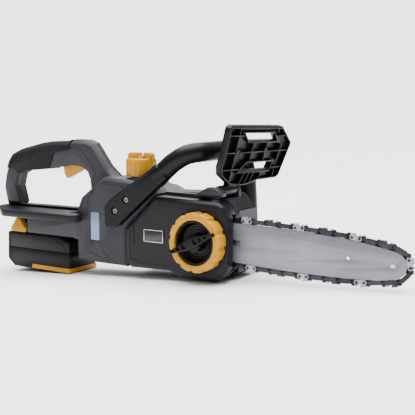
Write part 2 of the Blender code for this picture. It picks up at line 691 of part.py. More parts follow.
COVER_OUTLINE = ((-78, 133.6), (26, 130), (35, 125), (40.5, 108), (40.5, 40), (30, 25), (18, 22.6), (-34, 22.6),
                 (-56, 28.5), (-122, 26), (-131.6, 33.5), (-131.6, 83))
COVER_WALL = 2.6
COVER = make_piece("sprocket_cover", prism(COVER_OUTLINE, COVER_Y, PAD_Y - 0.4, "Y", 0.0, 4.0), DARK, SAW)
COVER_SPACE = prism(inset_outline(COVER_OUTLINE, COVER_WALL), COVER_Y + COVER_WALL, PAD_Y + 2, "Y", 0.0, 3.0)
boolean(COVER, make_piece("cover_space", COVER_SPACE, DARK, SAW), "DIFFERENCE")
boolean(COVER, box_tool("chain_exit", (24, -7, 34), (50, 5, 113)), "DIFFERENCE")
boolean(COVER, cylinder_tool("stud_opening", 10.0, COVER_Y - 2, COVER_Y + 6, "Y", (0, 0, 0), 20, BAR_LINE),
        "DIFFERENCE")
smooth(COVER, 25)
BADGE_OUTLINE = rounded(((-95, 68), (-62, 68), (-62, 85), (-95, 85)), 2, 2)
make_piece("cover_badge", prism(BADGE_OUTLINE, COVER_Y - 1.5, COVER_Y - GAP, "Y"), BADGE, SAW)


# Tension ring, its cam behind the cover, and the clamp knob, all turning about the clamp stud.

RING_RADIUS = 41.0
RING_INNER = 31.0
RING_NOTCHES = 12
CAM_LOW = 20.0
CAM_RISE = 3.0


def ring_outline():
    """Scalloped outer rim of the tension ring."""
    points = []
    for i in range(RING_NOTCHES):
        start = 360 * i / RING_NOTCHES
        points += arc((0, 0), RING_RADIUS, start, start + 20, 3)
        points += arc((0, 0), RING_RADIUS - 2.2, start + 23, start + 27, 1)
    return points


def cam_outline():
    """Snail cam whose radius rises over half a turn and falls back over the other half."""
    points = []
    for i in range(36):
        angle = math.radians(10 * i)
        radius = CAM_LOW + CAM_RISE * (1 - abs(i - 18) / 18)
        points.append((radius * math.cos(angle), radius * math.sin(angle)))
    return points


RING = make_piece("tension_ring", prism(ring_outline(), -44, COVER_Y - GAP, "Y", 0.0, 2.0), YELLOW, BAR_LINE)
boolean(RING, cylinder_tool("ring_bore", RING_INNER, -48, -20, "Y", (0, 0, 0), 40, BAR_LINE), "DIFFERENCE")
smooth(RING, 30)
CAM = make_piece("tension_cam", prism(cam_outline(), -22.9, -20.0), STEEL, BAR_LINE)
boolean(CAM, cylinder_tool("cam_bore", 9.6, -25, -18, "Y", (0, 0, 0), 24, BAR_LINE), "DIFFERENCE")
KNOB_PROFILE = ((8.9, -27.0), (30.5, -27.0), (30.5, -41.5), (27.5, -41.5), (24.5, -31.5), (13.0, -30.5),
                (11.0, -36.0),
                (8.9, -36.0))
WING_OUTLINE = ((-37, -2.0), (-20, -4.5), (-7, -7.0), (7, -7.0), (20, -4.5), (37, -2.0), (37, 2.0), (20, 4.5),
                (7, 7.0), (-7, 7.0), (-20, 4.5), (-37, 2.0))
WING_SLOPE_DEG = 26.0
KNOB = make_piece("lock_knob", turned(KNOB_PROFILE, 40, "Y"), BLACK, BAR_LINE)
WING_LINE = make_empty("wing_line", (0, 0, 0), (0, -WING_SLOPE_DEG, 0), BAR_LINE)
boolean(KNOB, make_piece("wing", prism(WING_OUTLINE, -54, -44.4, "Y", 0.0, 1.5), BLACK, WING_LINE), "UNION")
boolean(KNOB, cylinder_tool("wing_post", 12.0, -46.0, -35.5, "Y", (0, 0, 0), 24, BAR_LINE), "UNION")
boolean(KNOB, cylinder_tool("nut_pocket", 8.9, -36.5, -20.0, "Y", (0, 0, 0), 24, BAR_LINE), "DIFFERENCE")
smooth(KNOB, 30)
NUT = make_piece("clamp_nut", prism(arc((0, 0), 8.4, 0, 300, 5), -35.8, -27.0), STEEL, BAR_LINE)
boolean(NUT, cylinder_tool("nut_bore", STUD_RADIUS + GAP, -40, -20, "Y", (0, 0, 0), 16, BAR_LINE), "DIFFERENCE")
STUD_PROFILE = ((0, -34.5), (STUD_RADIUS - 0.6, -34.5), (STUD_RADIUS, -33.9), (STUD_RADIUS, 6.3), (8, 6.3),
                (8, 11), (0, 11))
smooth(make_piece("clamp_stud", turned(STUD_PROFILE, 16, "Y"), STEEL, BAR_LINE))


# Guide bar, nose sprocket and the chain.

def bar_outline():
    """Whole outline of the guide bar."""
    upper = bar_edge()
    lower = [(x, -z) for x, z in reversed(upper[:-1])]
    return upper + lower


TENSION_HOLE = (-22.0, -13.0)
BAR_HOLES = (("tension_hole", *TENSION_HOLE, 3.0), ("bar_hole", 200.5, 0.8, 2.4), ("hub_hole", BAR_NOSE_X,
                                                                                   0, 3.7))
BAR = make_piece("guide_bar", prism(bar_outline(), -BAR_THICKNESS / 2, BAR_THICKNESS / 2), STEEL, BAR_LINE)
SLOT_OUTLINE = arc((40.0, 0), STUD_RADIUS + GAP, -90, 90, 6) + arc((-6.0, 0), STUD_RADIUS + GAP, 90, 270, 6)
boolean(BAR, make_piece("bar_slot", prism(SLOT_OUTLINE, -4, 4), STEEL, BAR_LINE), "DIFFERENCE")
for label, hole_x, hole_z, radius in BAR_HOLES:
    boolean(BAR, cylinder_tool(label, radius, -4, 4, "Y", (hole_x, 0, hole_z), 14, BAR_LINE), "DIFFERENCE")
boolean(BAR, cylinder_tool("nose_pocket", BAR_NOSE_RADIUS + 0.9, -0.95, 0.95, "Y", (BAR_NOSE_X, 0, 0), 32,
                           BAR_LINE),
        "DIFFERENCE")


def toothed_wheel(teeth, tip, root, share):
    """Outline of a chain wheel with straight-sided teeth, each taking up share of its pitch."""
    points = []
    half = 180 / teeth
    for i in range(teeth):
        middle = 360 * i / teeth
        points += arc((0, 0), tip, middle - half * share * 0.6, middle + half * share * 0.6, 1)
        points += arc((0, 0), root, middle + half * share, middle + 2 * half - half * share, 2)
    return points


NOSE = make_piece("nose_sprocket", prism(toothed_wheel(NOSE_TEETH, 16.8, 13.2, 0.6), -0.65, 0.65), DARK_STEEL,
                  BAR_LINE, (BAR_NOSE_X, 0, 0))
boolean(NOSE, cylinder_tool("nose_bore", 3.7, -3, 3, "Y", (0, 0, 0), 20, NOSE), "DIFFERENCE")
smooth(make_piece("nose_hub", turned(disc_profile(3.4, -2.1, 2.1), 20, "Y", (BAR_NOSE_X, 0, 0)), STEEL,
                  BAR_LINE))


def resampled(points, count):
    """Points at equal steps along a closed line, each with its outward direction."""
    vectors = [Vector(point) for point in points]
    step = loop_length(points) / count
    found = []
    index = 0
    start = vectors[0]
    walked = 0.0
    for i in range(count):
        end = vectors[(index + 1) % len(vectors)]
        while walked + (end - start).length < i * step - 1e-9:
            walked += (end - start).length
            index += 1
            start = end
            end = vectors[(index + 1) % len(vectors)]
        along = (end - start).normalized()
        found.append((start + along * (i * step - walked), Vector((-along.y, along.x))))
    return found


CHAIN_STEPS = 4
STRAP_RISE = 3.1
DIP_RISE = 2.0
GAUGE_RISE = 4.0
CUTTER_RISE = 4.6


def chain_outline():
    """Outer side of the chain: strap humps, with a depth gauge and a cutter on every fourth pitch."""
    rises = {0: GAUGE_RISE, 1: DIP_RISE, 2: CUTTER_RISE, 3: CUTTER_RISE - 0.4}
    points = []
    line = resampled(chain_loop(SPROCKET_X, RIVET_LINE), 2 * DRIVE_LINKS * CHAIN_STEPS)
    for i, (place, normal) in enumerate(line):
        phase = i % (4 * CHAIN_STEPS)
        plain = DIP_RISE if phase % CHAIN_STEPS == 0 else STRAP_RISE
        points.append(tuple(place + normal * rises.get(phase, plain)))
    return points


CHAIN_HALF = CHAIN_WIDTH / 2 - GAP
CHAIN = make_piece("saw_chain", prism(chain_outline(), -CHAIN_HALF, CHAIN_HALF), DARK_STEEL, BAR_LINE)
INNER_LOOP = prism(chain_loop(SPROCKET_X, 0.35), -6, 6)
boolean(CHAIN, make_piece("chain_inside", INNER_LOOP, DARK_STEEL, BAR_LINE), "DIFFERENCE")


# Tensioner: a carriage in the cover that the cam pushes, and whose pin moves the bar along.

CARRIAGE = make_piece("tensioner_carriage", box((-35, -19.4, -20), (-13, -6, -6.5), 1.0), STEEL, BAR_LINE)
CARRIAGE_PIN = (TENSION_HOLE[0], 0, TENSION_HOLE[1])
boolean(CARRIAGE, cylinder_tool("carriage_pin", 2.6, -8, 2.0, "Y", CARRIAGE_PIN, 14, BAR_LINE), "UNION")
make_piece("chain_catcher", box((8, -10, 28), (24, 2.6, 37), 1.5), BLACK, SAW)


# Drive: sprocket, brake drum and gear on the output shaft; pinion and rotor on the motor shaft.

SHAFT_LINE = (SPROCKET_X, 0, 0)
SEAT_RADIUS = SPROCKET_RIVET_RADIUS - RIVET_LINE
DRUM_RADIUS = 22.0


def on_shaft(name, shape, material):
    """A piece with its origin on the output shaft, bored to clear the shaft."""
    piece = make_piece(name, shape, material, BAR_LINE, SHAFT_LINE)
    bore = cylinder_tool(name + "_bore", SHAFT_RADIUS + GAP, -20, 60, "Y", (0, 0, 0), 20, piece)
    return boolean(piece, bore, "DIFFERENCE")


on_shaft("drive_sprocket", prism(toothed_wheel(SPROCKET_TEETH, SEAT_RADIUS - 0.2, SEAT_RADIUS - 3.2, 0.7),
                                 -2.6, 2.6),
         DARK_STEEL)
on_shaft("drive_gear", prism(gear_outline(GEAR_TEETH, GEAR_MODULE, 0.25), 23.5, 29.5), STEEL)
SHAFT_PROFILE = disc_profile(SHAFT_RADIUS, -8, 38.4, 0, 0.8)
smooth(make_piece("output_shaft", turned(SHAFT_PROFILE, 20, "Y"), STEEL, BAR_LINE, SHAFT_LINE))
DRUM_PROFILE = ((SHAFT_RADIUS + GAP, 14.8), (DRUM_RADIUS, 14.8), (DRUM_RADIUS, 22.0), (DRUM_RADIUS - 2.5, 22.0),
                (DRUM_RADIUS - 2.5, 17.0), (SHAFT_RADIUS + GAP, 17.0))
smooth(make_piece("brake_drum", turned(DRUM_PROFILE, 36, "Y"), DARK_STEEL, BAR_LINE, SHAFT_LINE))
BAND_OUTLINE = arc((0, 0), DRUM_RADIUS + 1.6, 80, 380, 24) + arc((0, 0), DRUM_RADIUS + 0.6, 380, 80, 24)
make_piece("brake_band", prism(BAND_OUTLINE, 15.5, 21.5), STEEL, BAR_LINE, SHAFT_LINE)
for label, low in (("output_bearing", 6.6), ("plate_bearing", 32.7)):
    bearing_profile = disc_profile(BEARING_RADIUS, low, low + 6.0, SHAFT_RADIUS + GAP, 0.6)
    smooth(make_piece(label, turned(bearing_profile, 28, "Y"), STEEL, BAR_LINE, SHAFT_LINE))


def motor_line():
    """Empty on the motor's axis, turned so that the pinion's teeth meet the gear's gaps."""
    gear_phase = (MOTOR_DIRECTION_DEG * GEAR_TEETH / 360) % 1.0
    first_tooth = MOTOR_DIRECTION_DEG + 180 + (gear_phase + 0.5) * 360 / PINION_TEETH
    # The outlines' angles run from X towards Z, which is a negative turn about Y.
    return make_empty("motor_line", (MOTOR_X, 0, MOTOR_Z), (0, -first_tooth, 0), BAR_LINE)


ROTOR_PROFILE = ((0, 22.6), (3, 22.6), (3, 42), (19, 42), (19, 61.5), (3, 61.5), (3, 67.0), (0, 67.0))
CAN_PROFILE = ((3.6, 64.2), (20.0, 64.2), (20.0, 39.8), (25.0, 39.8), (25.0, 66.4), (3.6, 66.4))
MOTOR_LINE = motor_line()
ROTOR = make_piece("motor_rotor", prism(gear_outline(PINION_TEETH, GEAR_MODULE, 0.25), 23.1, 29.9), STEEL,
                   MOTOR_LINE)
boolean(ROTOR, make_piece("rotor_core", turned(ROTOR_PROFILE, 28, "Y"), STEEL, MOTOR_LINE), "UNION")
smooth(make_piece("motor_can", turned(CAN_PROFILE, 36, "Y", (MOTOR_X, 0, MOTOR_Z)), COPPER, BAR_LINE))
PLATE_CORNERS = ((SPROCKET_X - 20, -26), (MOTOR_X + 24, -20), (MOTOR_X + 28, MOTOR_Z + 22),
                 (SPROCKET_X - 10, 34),
                 (SPROCKET_X - 26, 10))
PLATE_HOLES = (("plate_bore", SPROCKET_X, 0, BEARING_RADIUS + GAP, 32.3), ("plate_shaft_hole", SPROCKET_X,
                                                                           0, 6.0, 25),
               ("plate_motor_hole", MOTOR_X, MOTOR_Z, 4.5, 25))
PLATE = make_piece("gearbox_plate", prism(rounded(PLATE_CORNERS, 10, 3), 31, 39, "Y"), STEEL, BAR_LINE)
for label, hole_x, hole_z, radius, low in PLATE_HOLES:
    boolean(PLATE, cylinder_tool(label, radius, low, 40, "Y", (hole_x, 0, hole_z), 24, BAR_LINE), "DIFFERENCE")


# Bar oil: tank, filler cap, window, hose and pump.

TANK_OUTLINE = ((-206, 32), (-140, 32), (-140, 85), (-120, 106), (-120, 143), (-186, 143), (-206, 130))
TANK_WALL = 2.0
TANK_LOW_Y = -18.4
TANK_HIGH_Y = 17.0
NECK_TOP_Z = 156.5
TANK = make_piece("oil_tank", prism(TANK_OUTLINE, TANK_LOW_Y, TANK_HIGH_Y, "Y", 2.0, 2.0), WINDOW, SAW)
NECK_LINE = (CAP_X, CAP_Y, 0)
boolean(TANK, cylinder_tool("neck_outside", NECK_RADIUS, 138, NECK_TOP_Z, "Z", NECK_LINE, 28), "UNION")
TANK_SPACE = prism(inset_outline(TANK_OUTLINE, TANK_WALL), TANK_LOW_Y + TANK_WALL, TANK_HIGH_Y - TANK_WALL)
boolean(TANK, make_piece("tank_space", TANK_SPACE, WINDOW, SAW), "DIFFERENCE")
boolean(TANK, cylinder_tool("neck_inside", NECK_RADIUS - 3.5, 140.4, 160, "Z", NECK_LINE, 28), "DIFFERENCE")
smooth(TANK, 30)
make_piece("oil_window", box((-200.7, RIGHT_Y - 0.3, 60.3), (-184.3, -18.8, 102.7)), WINDOW, SAW)
make_piece("cap_gasket", turned(((12.6, 156.8), (15.8, 156.8), (15.8, 157.7), (12.6, 157.7)), 28, "Z",
                                NECK_LINE),
           RUBBER, SAW)
CAP_PROFILE = ((0, 147.0), (12.0, 147.0), (12.0, 158.0), (22.5, 158.0), (22.5, 183.0), (21.0, 184.5), (0,
                                                                                                       184.5))
CAP = make_piece("oil_cap", turned(CAP_PROFILE, 32, "Z"), YELLOW, SAW,
                 NECK_LINE)
CROSSBAR = ((-22, 183), (22, 183), (22, 190), (18, 193.5), (8, 193.5), (6.5, 186.5), (-0.5, 186.5), (-2, 193.5),
            (-18, 193.5), (-22, 190))
boolean(CAP, make_piece("crossbar", prism(CROSSBAR, -6, 6, "Y", 1.0, 1.0), YELLOW, CAP), "UNION")
smooth(CAP, 30)
make_piece("oil_pump", box((-118, 7.2, 40), (-101, 18.5, 58), 1.5), BLACK, SAW)
smooth(make_piece("oil_hose", turned(disc_profile(2.2, -139.6, -118.4), 14, "X", (0, 12, 49)), RUBBER, SAW))


# Trigger, lock-off button, switch and electronics.

TRIGGER_PIVOT = (-241.0, 12.0, 175.0)
TRIGGER_OUTLINE = ((-42, -9), (-40, -19), (-36, -25), (-33, -25), (-16, -17), (-3, -11), (2, -6), (2.5, 3),
                   (-2, 5),
                   (-42, 2))
TRIGGER = make_piece("trigger", prism(TRIGGER_OUTLINE, -6, 6, "Y", 1.5, 1.5), YELLOW, SAW, TRIGGER_PIVOT)
smooth(TRIGGER, 30)
LOCK_PROFILE = ((0, -2.6), (7.1, -2.6), (7.1, 2.5), (5.8, 4.0), (0, 4.0))
smooth(make_piece("lock_off_button", turned(LOCK_PROFILE, 24, "Y"), YELLOW, SAW, (LOCK_OFF_X, 24.0,
                                                                                  LOCK_OFF_Z)))
make_piece("power_switch", box((-266, 6, 187), (-242, 18, 200), 1.0), BLACK, SAW)
make_piece("control_board", box((-200, 30, 50), (-139, 31.6, 128)), BOARD, SAW)


# Battery pack: two case halves, cells, board, bumper and release latches.

PACK_OUTLINE = ((-389, 58), (-270, 58), (-250, 50), (-250, 0), (-376, 0), (-391, 12))
CASE_WALL = 2.5
CASE_SPLIT_Z = 33.0
PACK_LOW_Y = PARTING_Y - PACK_HALF_WIDTH
PACK_HIGH_Y = PARTING_Y + PACK_HALF_WIDTH
CELL_PITCH = 19.0
CELL_PLACES = ((-286, -1), (-286, 0), (-286, 1), (-352, -0.5), (-352, 0.5))
CELL_Z = 19.0


def bumper_outline(outer, inner):
    """Plan of the strip round the pack's front, reaching outer and inner past the case's sides."""
    front = PACK_FRONT_X + outer
    return ((-332, PACK_LOW_Y - outer), (front, PACK_LOW_Y - outer), (front, PACK_HIGH_Y + outer),
            (-332, PACK_HIGH_Y + outer), (-332, PACK_HIGH_Y - inner), (PACK_FRONT_X - inner,
                                                                       PACK_HIGH_Y - inner),
            (PACK_FRONT_X - inner, PACK_LOW_Y + inner), (-332, PACK_LOW_Y + inner))


PACK_SPACE = make_piece("pack_space", prism(inset_outline(PACK_OUTLINE, CASE_WALL), PACK_LOW_Y + CASE_WALL,
                                            PACK_HIGH_Y - CASE_WALL), BLACK, SAW)
LOWER_HALF = box_tool("lower_half", (-400, -30, -5), (-240, 70, CASE_SPLIT_Z - GAP / 2))
UPPER_HALF = box_tool("upper_half", (-400, -30, CASE_SPLIT_Z + GAP / 2), (-240, 70, 90))
PACK_SOLID = prism(PACK_OUTLINE, PACK_LOW_Y, PACK_HIGH_Y, "Y", 2.0, 2.0)
LOWER_CASE = make_piece("battery_lower_case", PACK_SOLID, BLACK, SAW)
boolean(LOWER_CASE, LOWER_HALF, "INTERSECT")
boolean(LOWER_CASE, PACK_SPACE, "DIFFERENCE")
GROOVE = prism(bumper_outline(1.0, 1.5), 0.9, 8.5, "Z")
boolean(LOWER_CASE, make_piece("bumper_groove", GROOVE, BLACK, SAW), "DIFFERENCE")
make_piece("battery_bumper", prism(bumper_outline(0.6, 1.2), 1.2, 8.2, "Z"), YELLOW, SAW)
UPPER_CASE = make_piece("battery_upper_case", prism(PACK_OUTLINE, PACK_LOW_Y, PACK_HIGH_Y, "Y", 2.0, 2.0),
                        BLACK, SAW)
LATCH_BLOCK = ((-381, 57), (-347, 57), (-347, 66), (-361, 80), (-381, 80))
boolean(UPPER_CASE, make_piece("latch_block", prism(LATCH_BLOCK, -4.4, 28.4, "Y", 1.5, 1.5), BLACK, SAW),
        "UNION")
boolean(UPPER_CASE, UPPER_HALF, "INTERSECT")
for side in (-1, 1):
    rail_y = PARTING_Y + side * RAIL_OFFSET
    boolean(UPPER_CASE, box_tool("rail_neck", (-343, rail_y - 4, 57), (-272, rail_y + 4, 63)), "UNION")
    boolean(UPPER_CASE, box_tool("rail_head", (-343, rail_y - 7, 62.2), (-272, rail_y + 7, 65.6)), "UNION")
boolean(UPPER_CASE, PACK_SPACE, "DIFFERENCE")
TERMINALS = make_piece("terminal_block", box((-248.2, -3, 34), (-240.8, 27, 52), 1.0), BRASS, SAW)
for blade_y in (0, 8, 16, 24):
    boolean(TERMINALS, box_tool("blade", (-262, blade_y - 0.6, 38), (-247, blade_y + 0.6, 48)), "UNION")
    boolean(UPPER_CASE, box_tool("contact_slot", (-265, blade_y - 1.6, 36.5), (-249, blade_y + 1.6, 49.5)),
            "DIFFERENCE")
smooth(LOWER_CASE, 25)
smooth(UPPER_CASE, 25)
for number, (cell_x, row) in enumerate(CELL_PLACES, 1):
    cell_profile = disc_profile(CELL_RADIUS, -CELL_LENGTH / 2, CELL_LENGTH / 2, 0, 0.8)
    cell_place = (cell_x, PARTING_Y + row * CELL_PITCH, CELL_Z)
    smooth(make_piece(f"battery_cell_{number}", turned(cell_profile, 24, "X"), CELL_WRAP, SAW, cell_place))
make_piece("battery_board", box((-365, -10, 29.2), (-272, 34, 30.8)), BOARD, SAW)
LATCH_OUTLINE = ((-382, 58.6), (-348, 58.6), (-348, 66), (-362, 82), (-369, 82), (-382, 66))
for label, low, high in (("battery_latch_right", -19, -8), ("battery_latch_left", 32.5, 43.5)):
    smooth(make_piece(label, prism(LATCH_OUTLINE, low, high, "Y", 1.5, 1.5), YELLOW, SAW), 30)


# Front foot: a rubber wedge under the front of the left half, its sole in the plane of the floor.

FOOT_FRONT_X = -8.0
FOOT_REAR_X = -36.0
FLOOR_EDGE_X = PACK_FRONT_X
FOOT_TOP_Z = 22.1
FLOOR_SLOPE = math.tan(math.radians(SAW_TILT_DEG))
FOOT_OUTLINE = ((FOOT_REAR_X, FOOT_TOP_Z), (FOOT_REAR_X, (FOOT_REAR_X - FLOOR_EDGE_X) * FLOOR_SLOPE),
                (FOOT_FRONT_X, (FOOT_FRONT_X - FLOOR_EDGE_X) * FLOOR_SLOPE), (FOOT_FRONT_X, FOOT_TOP_Z))
make_piece("front_foot", prism(FOOT_OUTLINE, 28, 62), RUBBER, SAW)
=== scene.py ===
import bpy
import json
import math
from mathutils import Matrix, Vector

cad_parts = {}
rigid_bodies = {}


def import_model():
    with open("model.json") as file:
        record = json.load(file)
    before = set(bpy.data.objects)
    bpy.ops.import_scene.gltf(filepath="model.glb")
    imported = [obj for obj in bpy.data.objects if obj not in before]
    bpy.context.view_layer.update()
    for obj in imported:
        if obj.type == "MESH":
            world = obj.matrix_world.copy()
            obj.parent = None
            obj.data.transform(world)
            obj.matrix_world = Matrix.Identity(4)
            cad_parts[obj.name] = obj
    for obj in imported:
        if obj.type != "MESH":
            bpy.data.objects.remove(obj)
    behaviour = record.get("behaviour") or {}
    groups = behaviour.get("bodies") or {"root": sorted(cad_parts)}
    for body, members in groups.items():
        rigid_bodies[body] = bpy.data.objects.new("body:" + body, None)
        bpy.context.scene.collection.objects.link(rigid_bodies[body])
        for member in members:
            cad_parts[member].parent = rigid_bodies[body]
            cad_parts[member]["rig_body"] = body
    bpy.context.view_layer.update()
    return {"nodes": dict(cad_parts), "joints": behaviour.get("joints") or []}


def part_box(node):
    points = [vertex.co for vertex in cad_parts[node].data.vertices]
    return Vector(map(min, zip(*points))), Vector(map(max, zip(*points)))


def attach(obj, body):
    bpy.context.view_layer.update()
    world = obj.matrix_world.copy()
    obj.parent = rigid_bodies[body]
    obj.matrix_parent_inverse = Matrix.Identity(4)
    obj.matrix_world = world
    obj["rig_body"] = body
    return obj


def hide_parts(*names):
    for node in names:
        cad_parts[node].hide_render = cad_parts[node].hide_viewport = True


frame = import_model()

# ---- Housing ----
# Two moulded halves of glass-filled nylon, screwed together from the left. The grain of the mould
# shows on all faces. The saw's own axes, in millimetres from the clamp stud, are worked out from
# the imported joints, because its nose is tipped down.

JOINTS = {joint["name"]: joint for joint in frame["joints"]}
CAP_AXIS = JOINTS["cap_turn"]["axis"]
TILT = Matrix.Rotation(math.atan2(CAP_AXIS[0], CAP_AXIS[2]), 4, "Y")
STUD_PLACE = Vector(JOINTS["ring_turn"]["pos_m"])
STUD_HEIGHT = 75.5
MM = 0.001
SAW = Matrix.Translation(STUD_PLACE - TILT @ Vector((0, 0, STUD_HEIGHT * MM))) @ TILT


class Shade:
    """A material socket whose arithmetic makes Math nodes."""

    def __init__(self, tree, socket):
        self.tree = tree
        self.socket = socket

    def node(self, kind, output=0, settings=None, **inputs):
        made = self.tree.nodes.new(kind)
        for key, value in (settings or {}).items():
            setattr(made, key, value)
        for key, value in inputs.items():
            numbered = key[0] == "i" and key[1:].isdigit()
            place = made.inputs[int(key[1:]) if numbered else key.replace("_", " ")]
            if isinstance(value, Shade):
                self.tree.links.new(value.socket, place)
            else:
                place.default_value = value
        return Shade(self.tree, made.outputs[output])

    def maths(self, operation, first, second=0.0):
        return self.node("ShaderNodeMath", 0, {"operation": operation}, i0=first, i1=second)

    def __add__(self, other):
        return self.maths("ADD", self, other)

    def __radd__(self, other):
        return self.maths("ADD", other, self)

    def __sub__(self, other):
        return self.maths("SUBTRACT", self, other)

    def __rsub__(self, other):
        return self.maths("SUBTRACT", other, self)

    def __mul__(self, other):
        return self.maths("MULTIPLY", self, other)

    def __rmul__(self, other):
        return self.maths("MULTIPLY", other, self)

    def over(self, low, high):
        """0 below low, 1 above high, smooth between."""
        settings = {"interpolation_type": "SMOOTHSTEP"}
        return self.node("ShaderNodeMapRange", 0, settings, i0=self, i1=low, i2=high, i3=0.0, i4=1.0)

    def mix(self, first, second):
        """A colour between two, by this amount."""
        settings = {"data_type": "RGBA"}
        return self.node("ShaderNodeMix", 2, settings, i0=self, i6=first, i7=second)


def linear(text):
    """Linear colour from a six-digit one."""
    values = [int(text[i:i + 2], 16) / 255 for i in (0, 2, 4)]
    return tuple(v / 12.92 if v < 0.04045 else ((v + 0.055) / 1.055) ** 2.4 for v in values) + (1.0,)


def surface(name, colour, dust, roughness, metallic=0.0, grain=900.0, depth=0.12, streak=(1, 1, 1),
            coat=0.0, gloss=0.5):
    """Material with cloudy colour, patchy roughness, fine mould or grinding grain and small scuffs."""
    material = bpy.data.materials.new(name)
    material.use_nodes = True
    tree = material.node_tree
    shader = tree.nodes["Principled BSDF"]
    place = Shade(tree, tree.nodes.new("ShaderNodeTexCoord").outputs["Object"])
    drawn = place.node("ShaderNodeVectorMath", 0, {"operation": "MULTIPLY"}, i0=place, i1=streak)
    cloud = place.node("ShaderNodeTexNoise", 0, None, Vector=place, Scale=14.0, Detail=4.0, Roughness=0.6)
    fine = place.node("ShaderNodeTexNoise", 0, None, Vector=drawn, Scale=grain, Detail=3.0, Roughness=0.65)
    scuff = place.node("ShaderNodeTexNoise", 0, None, Vector=drawn, Scale=grain * 0.11, Detail=6.0,
                       Roughness=0.75)
    worn = scuff.over(0.62, 0.78) * cloud.over(0.35, 0.7)
    tone = (cloud.over(0.3, 0.75) * 0.55 + fine.over(0.3, 0.7) * 0.3).mix(linear(colour), linear(dust))
    tone = (worn * 0.5).mix(tone, linear(dust))
    rough = fine * 0.16 + cloud * 0.14 + worn * 0.12 + (roughness - 0.15)
    height = fine * 0.7 + scuff * 0.5
    bump = place.node("ShaderNodeBump", 0, None, Strength=depth, Distance=0.0004, Height=height)
    tree.links.new(tone.socket, shader.inputs["Base Color"])
    tree.links.new(rough.socket, shader.inputs["Roughness"])
    tree.links.new(bump.socket, shader.inputs["Normal"])
    shader.inputs["Metallic"].default_value = metallic
    shader.inputs["Coat Weight"].default_value = coat
    shader.inputs["Specular IOR Level"].default_value = gloss
    shader.inputs["Coat Roughness"].default_value = 0.25
    return material


def only(obj):
    """Make one object the selected and active one."""
    bpy.ops.object.select_all(action="DESELECT")
    obj.select_set(True)
    bpy.context.view_layer.objects.active = obj
    return obj


def softened(obj, bevel, angle=28):
    """Round an object's sharp edges and shade it smooth between them."""
    only(obj)
    if bevel > 0:
        rounding = obj.modifiers.new("rounding", "BEVEL")
        rounding.width = bevel * MM
        rounding.segments = 2
        rounding.limit_method = "ANGLE"
        rounding.angle_limit = math.radians(angle)
        rounding.use_clamp_overlap = False
        rounding.miter_outer = "MITER_ARC"
        bpy.ops.object.modifier_apply(modifier=rounding.name)
    bpy.ops.object.shade_smooth_by_angle(angle=math.radians(35))
    return obj


def block(low, high, bevel=0.4, frame_matrix=None, turn=None):
    """A rounded box between two corners in millimetres of the saw's own axes, or of another frame's."""
    middle = [(a + b) / 2 * MM for a, b in zip(low, high)]
    bpy.ops.mesh.primitive_cube_add(size=1, location=(0, 0, 0))
    piece = bpy.context.object
    piece.scale = [(b - a) * MM for a, b in zip(low, high)]
    bpy.ops.object.transform_apply(location=False, rotation=False, scale=True)
    softened(piece, bevel)
    place = Matrix.Translation(middle) @ (turn or Matrix.Identity(4))
    piece.data.transform((SAW if frame_matrix is None else frame_matrix) @ place)
    return piece


def strips(points, low_y, high_y, width, bevel=0.0, frame_matrix=None):
    """Thin bars from point to point of X and Z on a side face, for a raised line or to cut a groove."""
    made = []
    for a, b in zip(points, points[1:]):
        half = math.hypot(b[0] - a[0], b[1] - a[1]) / 2 + width / 2
        turn = Matrix.Rotation(-math.atan2(b[1] - a[1], b[0] - a[0]), 4, "Y")
        middle = Matrix.Translation(Vector(((a[0] + b[0]) / 2, 0, (a[1] + b[1]) / 2)) * MM)
        place = (SAW if frame_matrix is None else frame_matrix) @ middle @ turn
        made.append(block((-half, low_y, -width / 2), (half, high_y, width / 2), bevel, place))
    return made


def carved(piece, tools):
    """Cut the tools out of a piece, then delete them."""
    for tool in tools:
        only(piece)
        cut = piece.modifiers.new("cut", "BOOLEAN")
        cut.object = tool
        cut.solver = "EXACT"
        bpy.ops.object.modifier_apply(modifier=cut.name)
        bpy.data.objects.remove(tool)
    return piece


def carry(node, finish, bevel=0.5, details=(), grooves=()):
    """A copy of a CAD node, merged, rounded, grooved and with its details joined, that stands for the node."""
    source = frame["nodes"][node]
    piece = bpy.data.objects.new(node + "_look", source.data.copy())
    bpy.context.scene.collection.objects.link(piece)
    only(piece)
    bpy.ops.mesh.customdata_custom_splitnormals_clear()
    bpy.ops.object.mode_set(mode="EDIT")
    bpy.ops.mesh.select_all(action="SELECT")
    bpy.ops.mesh.remove_doubles(threshold=0.00002)
    bpy.ops.mesh.dissolve_limited(angle_limit=math.radians(0.6))
    bpy.ops.mesh.normals_make_consistent(inside=False)
    bpy.ops.object.mode_set(mode="OBJECT")
    softened(piece, bevel)
    carved(piece, grooves)
    bpy.ops.object.shade_smooth_by_angle(angle=math.radians(35))
    for detail in details:
        only(piece)
        detail.select_set(True)
        bpy.ops.object.join()
    piece.data.materials.clear()
    piece.data.materials.append(finish)
    for face in piece.data.polygons:
        face.material_index = 0
    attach(piece, source["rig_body"])
    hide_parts(node)
    return piece


